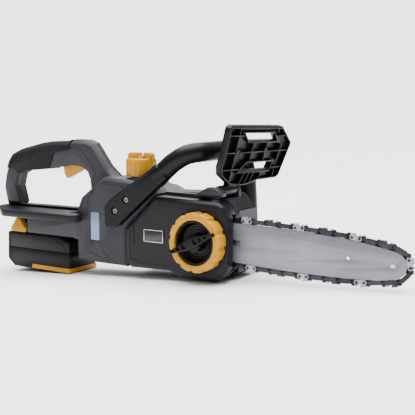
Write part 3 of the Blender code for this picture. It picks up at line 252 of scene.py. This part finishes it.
GREY = surface("moulded_grey", "1f1f23", "2d2c32", 0.42, grain=1400, depth=0.1, gloss=0.2)
RIGHT_FACE_Y = -22.0
REAR_PANEL = ((-206, 98), (-206, 120), (-185, 147), (-142, 146), (-134, 137))
LOWER_FACET = ((-186, 57), (-163, 28), (-206, 42))
side_grooves = strips(REAR_PANEL, RIGHT_FACE_Y - 1.0, RIGHT_FACE_Y + 0.7, 1.1)
side_grooves += strips(LOWER_FACET, RIGHT_FACE_Y - 1.0, RIGHT_FACE_Y + 0.5, 0.8)
HAND_LINE = ((-236, 122), (-208, 160), (-236, 196), (-262, 200))
side_grooves += strips(HAND_LINE, -1.0, 0.7, 0.9)
carry("right_housing", GREY, 0.7, (), side_grooves)
LEFT_PANEL = ((-128, 40), (20, 40), (20, 105), (-128, 105), (-128, 40))
LEFT_FACE_Y = 71.0
carry("left_housing", GREY, 0.0, strips(LEFT_PANEL, LEFT_FACE_Y - 0.6,
                                                           LEFT_FACE_Y + 0.5, 1.4, 0.3))

# ---- Grip ----
# Soft black rubber, moulded over the top and back of the rear handle. Slanting ribs along both
# upper edges keep a glove from slipping.

RUBBER = surface("soft_rubber", "0e0e10", "17171a", 0.6, grain=1100, depth=0.2, gloss=0.12)
GRIP_TOP = ((-398, 185), (-376, 194), (-327, 204.5), (-302, 207.5), (-268, 208.5))
RIB_GAP = 8.0
ribs = []
for (x0, z0), (x1, z1) in zip(GRIP_TOP, GRIP_TOP[1:]):
    slope = Matrix.Rotation(-math.atan2(z1 - z0, x1 - x0), 4, "Y")
    for i in range(int((x1 - x0) / RIB_GAP)):
        x = x0 + (i + 0.5) * RIB_GAP
        z = z0 + (z1 - z0) * (x - x0) / (x1 - x0)
        for side_y, lean in ((3.0, 45), (21.0, -45)):
            turn = slope @ Matrix.Rotation(math.radians(lean), 4,
                                           "X") @ Matrix.Rotation(math.radians(-38), 4, "Z")
            ribs.append(block((x - 0.9, side_y - 5.0, z - 3.5), (x + 0.9, side_y + 5.0, z - 1.2), 0.5,
                              None, turn))
GRIP_LINE = ((-402, 150), (-396, 170), (-384, 181), (-330, 192), (-306, 194))
carry("grip_overmould", RUBBER, 0.6, ribs, strips(GRIP_LINE, -3.0, 0.6, 0.9))

# ---- Rear hand guard ----
# A flat plate of charcoal nylon below the grip, with rounded edges. It is clamped between the
# handle's loop and the skirt of the housing.

CHARCOAL = surface("moulded_charcoal", "0f0f12", "18181d", 0.38, grain=1200, depth=0.09, gloss=0.16)
carry("rear_hand_guard", CHARCOAL, 0.8)

# ---- Front handle ----
# One thick tube with a flat leg, moulded in black nylon with a soft sheen. Two screws hold the leg
# to the right side and one holds the left foot.

BLACK = surface("moulded_black", "060607", "0e0e10", 0.34, grain=1000, depth=0.07, gloss=0.14)
carry("front_handle", BLACK, 0.0)

# ---- Screws ----
# Plated steel screws with round heads, driven into the handle's leg and foot and into the left
# half of the housing.

DARK_STEEL = surface("blackened_steel", "55555a", "7d7c84", 0.38, 1.0, grain=700, depth=0.1)
for node in sorted(frame["nodes"]):
    if "_screw_" in node:
        carry(node, DARK_STEEL, 0.12)

# ---- Hand guard ----
# A paddle of black nylon on a steel pin, with two windows. Its hollow front is stiffened by
# crossing ribs, two bosses and a raised rim round each window.

GUARD_PIVOT = Vector((16.0, 0.0, 143.0)) * MM
PADDLE = (SAW @ Matrix.Translation(GUARD_PIVOT + Vector((2.2, 0, 0)) * MM)
          @ Matrix.Rotation(math.radians(-7.0), 4, "Z") @ Matrix.Rotation(math.radians(18.3), 4, "Y"))
RIB_BACK = -8.6
RIB_FRONT = -1.2
RIBS = (((-14, 79), (21, 79)), ((106, 79), (128, 79)), ((-12, 54.5), (10, 54.5)), ((21, 54.5), (76, 55.5)),
        ((87, 55.8), (141, 56.4)), ((-13, 30), (29, 30)), ((104, 30), (135, 30)), ((9, 91), (13, 10)),
        ((48, 70), (48.5, 41)), ((118, 66), (117, 41)), ((81.5, 70), (81.5, 61)), ((81.5, 51), (81.5, 41)),
        ((118, 26), (118, 13)), ((84, 25), (84, 13)), ((44, 25), (37, 7)), ((56, 25), (49, 7)), ((66,
                                                                                                  25), (61, 9)),
        ((98, 91), (104, 84)))
RIM_WINDOWS = (((19.5, 83), (90, 83), (105, 71.3), (34.7, 71.3)), ((28, 26.5), (42, 39.5), (106, 39.5),
                                                                   (103, 26.5)))


def rib(start, end, width, low, high):
    """A thin wall standing on the paddle between two points across and up it."""
    along = Vector((0, end[0] - start[0], end[1] - start[1]))
    turn = Matrix.Rotation(math.atan2(along.z, along.y), 4, "X")
    middle = Vector((0, (start[0] + end[0]) / 2, (start[1] + end[1]) / 2)) * MM
    half = along.length / 2
    return block((low, -half, -width / 2), (high, half, width / 2), 0.35, PADDLE
                 @ Matrix.Translation(middle) @ turn)


details = [rib(a, b, 1.7, RIB_BACK, RIB_FRONT) for a, b in RIBS]
for across, up in ((15.4, 54.5), (81.7, 56)):
    bpy.ops.mesh.primitive_cylinder_add(vertices=8, radius=5.4 * MM, depth=7.6 * MM)
    boss = softened(bpy.context.object, 0.5)
    boss.data.transform(PADDLE @ Matrix.Translation(Vector((-5, across, up)) * MM)
                        @ Matrix.Rotation(math.radians(90), 4, "Y"))
    details.append(boss)
    bpy.ops.mesh.primitive_torus_add(major_radius=4.2 * MM, minor_radius=0.7 * MM, major_segments=24,
                                     minor_segments=8)
    lip = bpy.context.object
    lip.data.transform(PADDLE @ Matrix.Translation(Vector((-1.3, across, up)) * MM)
                       @ Matrix.Rotation(math.radians(90), 4, "Y"))
    details.append(lip)
for corners in RIM_WINDOWS:
    middle = [sum(c[i] for c in corners) / 4 for i in (0, 1)]
    outer = [(middle[0] + (c[0] - middle[0]) * 1.03, middle[1] + (c[1] - middle[1]) * 1.22) for c in corners]
    for a, b in zip(outer, outer[1:] + outer[:1]):
        details.append(rib(a, b, 1.5, -3.0, -0.2))
carry("hand_guard", BLACK, 0.6, details)
STEEL = surface("ground_steel", "9f9ea8", "c2c1ca", 0.34, 1.0, grain=900, depth=0.06, streak=(0.06, 1, 1))
carry("guard_pivot_pin", STEEL, 0.3)

# ---- Side cover ----
# Charcoal nylon with a grooved panel and a blank plate with a bright border. The clamp knob holds
# it over the sprocket, and the bar and chain leave through its front.

PANEL_EDGE = ((-78, 121), (-122, 84), (-122, 40), (-104, 35), (-48, 36))
PANEL_SLOT = ((-114, 88), (-114, 62))
TOP_EDGE = ((-74, 122), (22, 118.5))
COVER_FACE_Y = -26.0
details = []
grooves = strips(PANEL_EDGE, COVER_FACE_Y - 1.0, COVER_FACE_Y + 0.6, 1.0)
grooves += strips(PANEL_SLOT, COVER_FACE_Y - 1.0, COVER_FACE_Y + 1.2, 2.4, 0.6)
grooves += strips(TOP_EDGE, COVER_FACE_Y - 1.0, COVER_FACE_Y + 0.6, 1.0)
for radius, thick in ((43.6, 0.9), (46.5, 0.5)):
    bpy.ops.mesh.primitive_torus_add(major_radius=radius * MM, minor_radius=thick * MM,
                                     major_segments=72, minor_segments=8)
    boss = bpy.context.object
    boss.data.transform(SAW @ Matrix.Translation(Vector((0, COVER_FACE_Y, STUD_HEIGHT)) * MM)
                        @ Matrix.Rotation(math.radians(90), 4, "X"))
    bpy.ops.object.shade_smooth()
    details.append(boss)
carry("sprocket_cover", CHARCOAL, 0.9, details, grooves)
BADGE = surface("badge_plate", "141417", "202024", 0.35, 0.0, grain=1500, depth=0.05)
BADGE_RIM = (((-95, 68), (-62, 68)), ((-62, 68), (-62, 85)), ((-62, 85), (-95, 85)), ((-95, 85), (-95, 68)))
carry("cover_badge", BADGE, 0.2)
SILVER = surface("bright_rim", "b9b8c0", "d8d7de", 0.3, 0.7, grain=1500, depth=0.04)
edges = []
for a, b in BADGE_RIM:
    low = (min(a[0], b[0]) - 0.4, COVER_FACE_Y - 1.9, min(a[1], b[1]) - 0.4)
    high = (max(a[0], b[0]) + 0.4, COVER_FACE_Y - 1.3, max(a[1], b[1]) + 0.4)
    edges.append(block(low, high, 0.1))
only(edges[0])
for edge in edges[1:]:
    edge.select_set(True)
bpy.ops.object.join()
rim = bpy.context.object
rim.name = "badge_rim"
rim.data.materials.append(SILVER)
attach(rim, "saw")

# ---- Tension ring, cam and clamp knob ----
# All turn on the steel clamp stud. The scalloped ring is yellow nylon, and the black knob has a
# hollowed wing across a stepped dish.

YELLOW = surface("yellow_nylon", "a87200", "be8606", 0.36, grain=1300, depth=0.06, coat=0.1, gloss=0.2)
carry("tension_ring", YELLOW, 0.7)
carry("tension_cam", STEEL, 0.2)
BAR_TILT = 2.2
BAR_LINE = SAW @ Matrix.Translation(Vector((0, 0,
                                            STUD_HEIGHT)) * MM) @ Matrix.Rotation(math.radians(BAR_TILT), 4, "Y")
details = []
for radius in (17.0, 21.0, 24.0):
    bpy.ops.mesh.primitive_torus_add(major_radius=radius * MM, minor_radius=0.7 * MM, major_segments=64,
                                     minor_segments=8)
    step = bpy.context.object
    step.data.transform(BAR_LINE @ Matrix.Translation(Vector((0, -31.4, 0)) * MM)
                        @ Matrix.Rotation(math.radians(90), 4, "X"))
    bpy.ops.object.shade_smooth()
    details.append(step)
WING_SLOPE = 26.0
WING_LINE = BAR_LINE @ Matrix.Rotation(math.radians(-WING_SLOPE), 4, "Y")
WING_FACE_Y = -54.0
grooves = []
for side in (-1, 1):
    for near, far, height in ((6.5, 13.5, 3.6), (15.5, 22.5, 2.6), (24.5, 31.5, 1.6)):
        low, high = sorted((side * near, side * far))
        grooves.append(block((low, WING_FACE_Y - 1.0, -height), (high, WING_FACE_Y + 3.2, height), 0.5,
                             WING_LINE))
carry("lock_knob", BLACK, 0.4, details, grooves)
carry("clamp_nut", STEEL, 0.3)
carry("clamp_stud", STEEL, 0.2)

# ---- Guide bar, nose wheel and tensioner ----
# The bar is steel, ground along its length, with a slot at its root for the stud. The small
# tensioner carriage draws it along, and a toothed wheel turns in its nose.

BAR_STEEL = surface("bar_steel", "6b6a74", "8a8993", 0.42, 0.45, grain=800, depth=0.05, streak=(0.04, 1, 1))
carry("guide_bar", BAR_STEEL, 0.25, (), [block((28, -4, -3.4), (49.5, -1.0, 3.4), 0.0,
                                                               BAR_LINE)])
slot_bed = block((28.1, -1.3, -3.3), (49.4, -0.98, 3.3), 0.1, BAR_LINE)
slot_bed.name = "bar_slot_bed"
slot_bed.data.materials.append(DARK_STEEL)
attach(slot_bed, "bar")
for node in ("nose_hub", "tensioner_carriage"):
    carry(node, STEEL, 0.2)
CHAIN_STEEL = surface("chain_steel", "1e1e22", "4c4b52", 0.34, 0.9, grain=600, depth=0.14)
TOOTH_STEEL = surface("tooth_steel", "77767e", "b4b3bb", 0.28, 0.5, grain=700, depth=0.1)
carry("nose_sprocket", CHAIN_STEEL, 0.1)

# ---- Saw chain ----
# Drive links, tie straps and cutters of stamped steel, held by rivets. It follows the rivet line
# round the bar's edge, the nose and the drive sprocket.

PITCH = 9.525
RIVET_COUNT = 80
RIVET_LINE = 3.9
NOSE_X = 257.0
NOSE_RADIUS = 17.0
SPROCKET_STEPS = 12
SEAT = PITCH / (2 * math.sin(math.pi / SPROCKET_STEPS)) - RIVET_LINE
BAR_PROFILE = ((0, 25.2), (32, 26.8), (85, 27.5), (140, 27.0), (195, 24.8), (230, 21.6))


def round_arc(centre, radius, start, end, steps):
    """Points on an arc, angles in degrees."""
    angles = [math.radians(start + (end - start) * i / steps) for i in range(steps + 1)]
    return [Vector((centre + radius * math.cos(a), radius * math.sin(a))) for a in angles]


def rivet_loop(sprocket_x):
    """Closed rivet line round the bar for a sprocket place."""
    upper = round_arc(sprocket_x, SEAT + RIVET_LINE, 180, 98, 16)
    upper += [Vector((x, z + RIVET_LINE)) for x, z in BAR_PROFILE]
    upper += round_arc(NOSE_X, NOSE_RADIUS + RIVET_LINE, 78, 0, 16)
    return upper + [Vector((p.x, -p.y)) for p in reversed(upper[1:-1])]


def length_of(points):
    """Length of a closed line."""
    return sum((points[i] - points[i - 1]).length for i in range(len(points)))


def at_steps(points, count):
    """Points at equal steps along a closed line."""
    step = length_of(points) / count
    found = []
    index = 0
    walked = 0.0
    for i in range(count):
        side = points[(index + 1) % len(points)] - points[index]
        while walked + side.length < i * step:
            walked += side.length
            index += 1
            side = points[(index + 1) % len(points)] - points[index]
        found.append(points[index] + side.normalized() * (i * step - walked))
    return found


def stadium(length, height, low, high, rise=0.0):
    """A link plate lying along X with round ends, in millimetres."""
    bpy.ops.mesh.primitive_cube_add(size=1, location=(0, 0, 0))
    plate = bpy.context.object
    plate.scale = (length * MM, (high - low) * MM, height * MM)
    bpy.ops.object.transform_apply(location=False, rotation=False, scale=True)
    bpy.ops.object.mode_set(mode="EDIT")
    bpy.ops.mesh.select_all(action="DESELECT")
    bpy.ops.object.mode_set(mode="OBJECT")
    for edge in plate.data.edges:
        a, b = (plate.data.vertices[i].co for i in edge.vertices)
        edge.select = abs(a.y - b.y) > 1e-5
    bpy.ops.object.mode_set(mode="EDIT")
    bpy.ops.mesh.select_mode(type="EDGE")
    bpy.ops.mesh.bevel(offset=height * 0.47 * MM, segments=4, affect="EDGES")
    bpy.ops.object.mode_set(mode="OBJECT")
    plate.data.transform(Matrix.Translation(Vector((0, (low + high) / 2, rise)) * MM))
    return plate


def cutter(side):
    """A cutter link: plate, depth gauge in front and an overhanging top plate with a raked edge."""
    plate = stadium(15.6, 6.2, 0.9, 2.2)
    bpy.ops.mesh.primitive_cube_add(size=1, location=(0, 0, 0))
    tooth = bpy.context.object
    tooth.scale = (7.8 * MM, 3.1 * MM, 4.4 * MM)
    bpy.ops.object.transform_apply(location=False, rotation=False, scale=True)
    for vertex in tooth.data.vertices:
        if vertex.co.z < 0:
            vertex.co.y = 0.55 * MM if vertex.co.y < 0 else vertex.co.y
            vertex.co.x *= 0.8
        elif vertex.co.x < 0:
            vertex.co.z -= 0.9 * MM
    tooth.data.transform(Matrix.Translation(Vector((-3.4, 1.1, 4.0)) * MM))
    tooth.data.materials.append(TOOTH_STEEL)
    plate.data.materials.append(TOOTH_STEEL)
    bpy.ops.mesh.primitive_cube_add(size=1, location=(0, 0, 0))
    gauge = bpy.context.object
    gauge.scale = (3.0 * MM, 1.3 * MM, 4.0 * MM)
    bpy.ops.object.transform_apply(location=False, rotation=False, scale=True)
    gauge.data.transform(Matrix.Translation(Vector((5.0, 1.55, 3.4)) * MM))
    gauge.data.materials.append(TOOTH_STEEL)
    only(plate)
    tooth.select_set(True)
    gauge.select_set(True)
    bpy.ops.object.join()
    if side < 0:
        only(plate)
        plate.data.transform(Matrix.Diagonal((1, -1, 1, 1)))
        plate.data.flip_normals()
    return plate


low_x, high_x = -90.0, -50.0
for _ in range(30):
    sprocket_x = (low_x + high_x) / 2
    if length_of(rivet_loop(sprocket_x)) > RIVET_COUNT * PITCH:
        low_x = sprocket_x
    else:
        high_x = sprocket_x
RIVETS = at_steps(rivet_loop(sprocket_x), RIVET_COUNT)
drive_link = stadium(15.4, 5.6, -0.65, 0.65, -0.2)
only(drive_link)
hump = stadium(6.4, 6.4, -0.65, 0.65, 2.2)
only(drive_link)
hump.select_set(True)
bpy.ops.object.join()
strap_right = stadium(15.6, 5.8, -2.2, -0.9)
strap_left = stadium(15.6, 5.8, 0.9, 2.2)
cutter_left = cutter(1)
cutter_right = cutter(-1)
bpy.ops.mesh.primitive_cylinder_add(vertices=12, radius=1.9 * MM, depth=5.2 * MM,
                                    rotation=(math.radians(90), 0, 0))
bpy.ops.object.transform_apply(location=False, rotation=True, scale=False)
rivet = bpy.context.object
for shape in (drive_link, strap_right, strap_left):
    shape.data.materials.append(CHAIN_STEEL)
rivet.data.materials.append(CHAIN_STEEL)
links = []
for i in range(RIVET_COUNT):
    a = RIVETS[i]
    b = RIVETS[(i + 1) % RIVET_COUNT]
    middle = (a + b) / 2
    turn = Matrix.Rotation(-math.atan2(b.y - a.y, b.x - a.x), 4, "Y")
    place = BAR_LINE @ Matrix.Translation(Vector((middle.x, 0, middle.y)) * MM) @ turn
    kinds = (drive_link,) if i % 2 == 0 else (strap_right, strap_left)
    if i % 8 == 3:
        kinds = (cutter_left, strap_right)
    elif i % 8 == 7:
        kinds = (cutter_right, strap_left)
    for kind in kinds:
        link = bpy.data.objects.new("link", kind.data.copy())
        bpy.context.scene.collection.objects.link(link)
        link.data.transform(place)
        links.append(link)
    pin = bpy.data.objects.new("pin", rivet.data.copy())
    bpy.context.scene.collection.objects.link(pin)
    pin.data.transform(BAR_LINE @ Matrix.Translation(Vector((a.x, 0, a.y)) * MM))
    links.append(pin)
for template in (drive_link, strap_right, strap_left, cutter_left, cutter_right, rivet):
    bpy.data.objects.remove(template)
only(links[0])
for link in links[1:]:
    link.select_set(True)
bpy.ops.object.join()
chain = bpy.context.object
chain.name = "saw_chain_look"
bpy.ops.object.shade_smooth_by_angle(angle=math.radians(35))
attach(chain, "bar")
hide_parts("saw_chain")

# ---- Chain catcher, drive train and brake ----
# A nylon catcher stands below the sprocket. Inside the housing, a copper-wound motor turns a
# steel gear, shaft, sprocket and brake drum, carried by a cast alloy plate.

carry("chain_catcher", BLACK, 0.4)
for node in ("drive_sprocket", "brake_drum"):
    carry(node, CHAIN_STEEL, 0.2)
for node in ("drive_gear", "output_shaft", "brake_band", "output_bearing", "plate_bearing", "motor_rotor"):
    carry(node, STEEL, 0.1)
COPPER = surface("wound_copper", "a05a34", "c27a4c", 0.4, 1.0, grain=500, depth=0.2, streak=(1, 0.05, 1))
carry("motor_can", COPPER, 0.3)
CAST = surface("cast_alloy", "8f8f94", "a9a9ae", 0.55, 1.0, grain=500, depth=0.25)
carry("gearbox_plate", CAST, 0.3)

# ---- Bar oil ----
# A blown tank of pale blue nylon whose window shows in the housing's side, a rubber hose and a
# pump. The yellow cap is ribbed all round for grip, with a notched crossbar on top.

OIL_BLUE = surface("oil_window", "52648c", "71829f", 0.28, grain=1600, depth=0.03, coat=0.3)
carry("oil_tank", OIL_BLUE, 0.4)
carry("oil_window", OIL_BLUE, 0.5)
carry("cap_gasket", RUBBER, 0.1)
carry("oil_pump", BLACK, 0.4)
carry("oil_hose", RUBBER, 0.2)
CAP_RIB_COUNT = 18
details = []
for i in range(CAP_RIB_COUNT):
    angle = 2 * math.pi * i / CAP_RIB_COUNT
    turn = Matrix.Rotation(angle, 4, "Z")
    centre = SAW @ Matrix.Translation(Vector((-130.5, 14, 0)) * MM) @ turn
    details.append(block((21.2, -1.7, 160.0), (22.9, 1.7, 182.5), 0.6, centre))
carry("oil_cap", YELLOW, 0.8, details)

# ---- Trigger, lock-off button, switch and board ----
# The yellow nylon trigger swings on a pin in the handle, and the button in the handle's left
# side frees it. The switch and the soldered board are screwed down inside.

carry("trigger", YELLOW, 0.6)
carry("lock_off_button", YELLOW, 0.4)
carry("power_switch", BLACK, 0.3)
BOARD = surface("circuit_board", "1c5a33", "2c7a48", 0.45, grain=900, depth=0.1, coat=0.3)
carry("control_board", BOARD, 0.1)

# ---- Battery pack ----
# Two black case halves round five cells in blue sleeves and a board, with a yellow bumper
# strip clipped along the front. A ribbed yellow latch stands at each side of its top.

PACK_FACE_Y = -19.5
PACK_EDGE = ((-384, 12), (-384, 47), (-377, 53.5), (-292, 53.5), (-264, 45), (-258, 39), (-258, 10),
             (-266, 5), (-376, 5),
             (-384, 12))
carry("battery_lower_case", BLACK, 0.8, strips(PACK_EDGE, PACK_FACE_Y - 0.5,
                                                                PACK_FACE_Y + 0.6, 1.2, 0.3))
carry("battery_upper_case", BLACK, 0.8)
carry("battery_bumper", YELLOW, 0.3)
BRASS = surface("brass_contact", "a98c4a", "c9ad68", 0.35, 1.0, grain=900, depth=0.06)
carry("terminal_block", BRASS, 0.2)
CELL = surface("cell_wrap", "2a4d86", "3c64a2", 0.4, grain=900, depth=0.05, coat=0.2)
for number in range(1, 6):
    carry(f"battery_cell_{number}", CELL, 0.4)
carry("battery_board", BOARD, 0.1)
for node, side in (("battery_latch_right", -1), ("battery_latch_left", 1)):
    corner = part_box(node)[0 if side < 0 else 1]
    face_y = (corner[1] - SAW.translation.y) / MM
    details = []
    for x in (-377, -373, -369, -365, -361, -357, -353):
        top = 64 if x in (-377, -353) else 72
        details.append(block((x - 0.8, face_y - 0.6, 60.5), (x + 0.8, face_y + 0.6, top), 0.3))
    carry(node, YELLOW, 0.8, details)

# ---- Front foot ----
# A rubber wedge, pressed into the underside at the front. The saw rests on it and on the pack.

carry("front_foot", RUBBER, 0.3)

# ---- Studio ----
# A pale floor and a pale sky that is brighter overhead, a wide soft light from above and two weak
# ones, in front and behind.

bpy.ops.mesh.primitive_plane_add(size=60.0, location=(0, 0, -0.0004))
floor = bpy.context.object
floor.name = "studio_floor"
pale = bpy.data.materials.new("pale_floor")
pale.use_nodes = True
paint = pale.node_tree.nodes["Principled BSDF"]
cloud = Shade(pale.node_tree, pale.node_tree.nodes.new("ShaderNodeTexCoord").outputs["Object"])
cloud = cloud.node("ShaderNodeTexNoise", 0, None, Vector=cloud, Scale=3.0, Detail=2.0)
pale.node_tree.links.new(cloud.mix(linear("f4f4f5"), linear("fafafa")).socket, paint.inputs["Base Color"])
paint.inputs["Roughness"].default_value = 0.8
floor.data.materials.append(pale)

world = bpy.data.worlds.new("studio_world")
world.use_nodes = True
sky = world.node_tree
background = sky.nodes["Background"]
background.inputs["Color"].default_value = (1.0, 1.0, 1.0, 1.0)
seen = Shade(sky, sky.nodes.new("ShaderNodeLightPath").outputs["Is Camera Ray"])
ray = Shade(sky, sky.nodes.new("ShaderNodeTexCoord").outputs["Generated"])
height = ray.node("ShaderNodeSeparateXYZ", 2, None, Vector=ray)
soft = height.over(0.05, 0.95) * 1.5 + 0.05
sky.links.new((seen * 3.4 + (1.0 - seen) * soft).socket, background.inputs["Strength"])
bpy.context.scene.world = world
LIGHTS = (("overhead", "SUN", (0, 0, 2.0), (0, 0, 0), 1.1, 9.0), ("front_fill", "AREA", (0.9, -1.6,
                                                                                         0.9), (60, 0,
                                                                                                30), 1.0, 2.0),
          ("rear_rim", "AREA", (-1.0, 1.4, 1.3), (-50, 0, 40), 1.0, 12.0))
for name, kind, place, turn, size, power in LIGHTS:
    lamp = bpy.data.lights.new(name, kind)
    if kind == "SUN":
        lamp.angle = size
    else:
        lamp.size = size
    lamp.energy = power
    holder = bpy.data.objects.new(name, lamp)
    holder.location = place
    holder.rotation_euler = [math.radians(angle) for angle in turn]
    bpy.context.scene.collection.objects.link(holder)

# ---- Camera ----
# It stands low at the front right and looks back along the saw, a little downwards.

CAMERA_PLACE = Vector((482.8, -780.1, 225.9)) * MM
CAMERA_TARGET = Vector((-4.7, 0.0, 119.4)) * MM
lens = bpy.data.cameras.new("studio_camera")
lens.lens = 57.7
lens.sensor_width = 36.0
camera = bpy.data.objects.new("studio_camera", lens)
bpy.context.scene.collection.objects.link(camera)
facing = (CAMERA_TARGET - CAMERA_PLACE).to_track_quat("-Z", "Y").to_matrix().to_4x4()
camera.matrix_world = SAW @ Matrix.Translation(CAMERA_PLACE) @ facing
bpy.context.scene.camera = camera
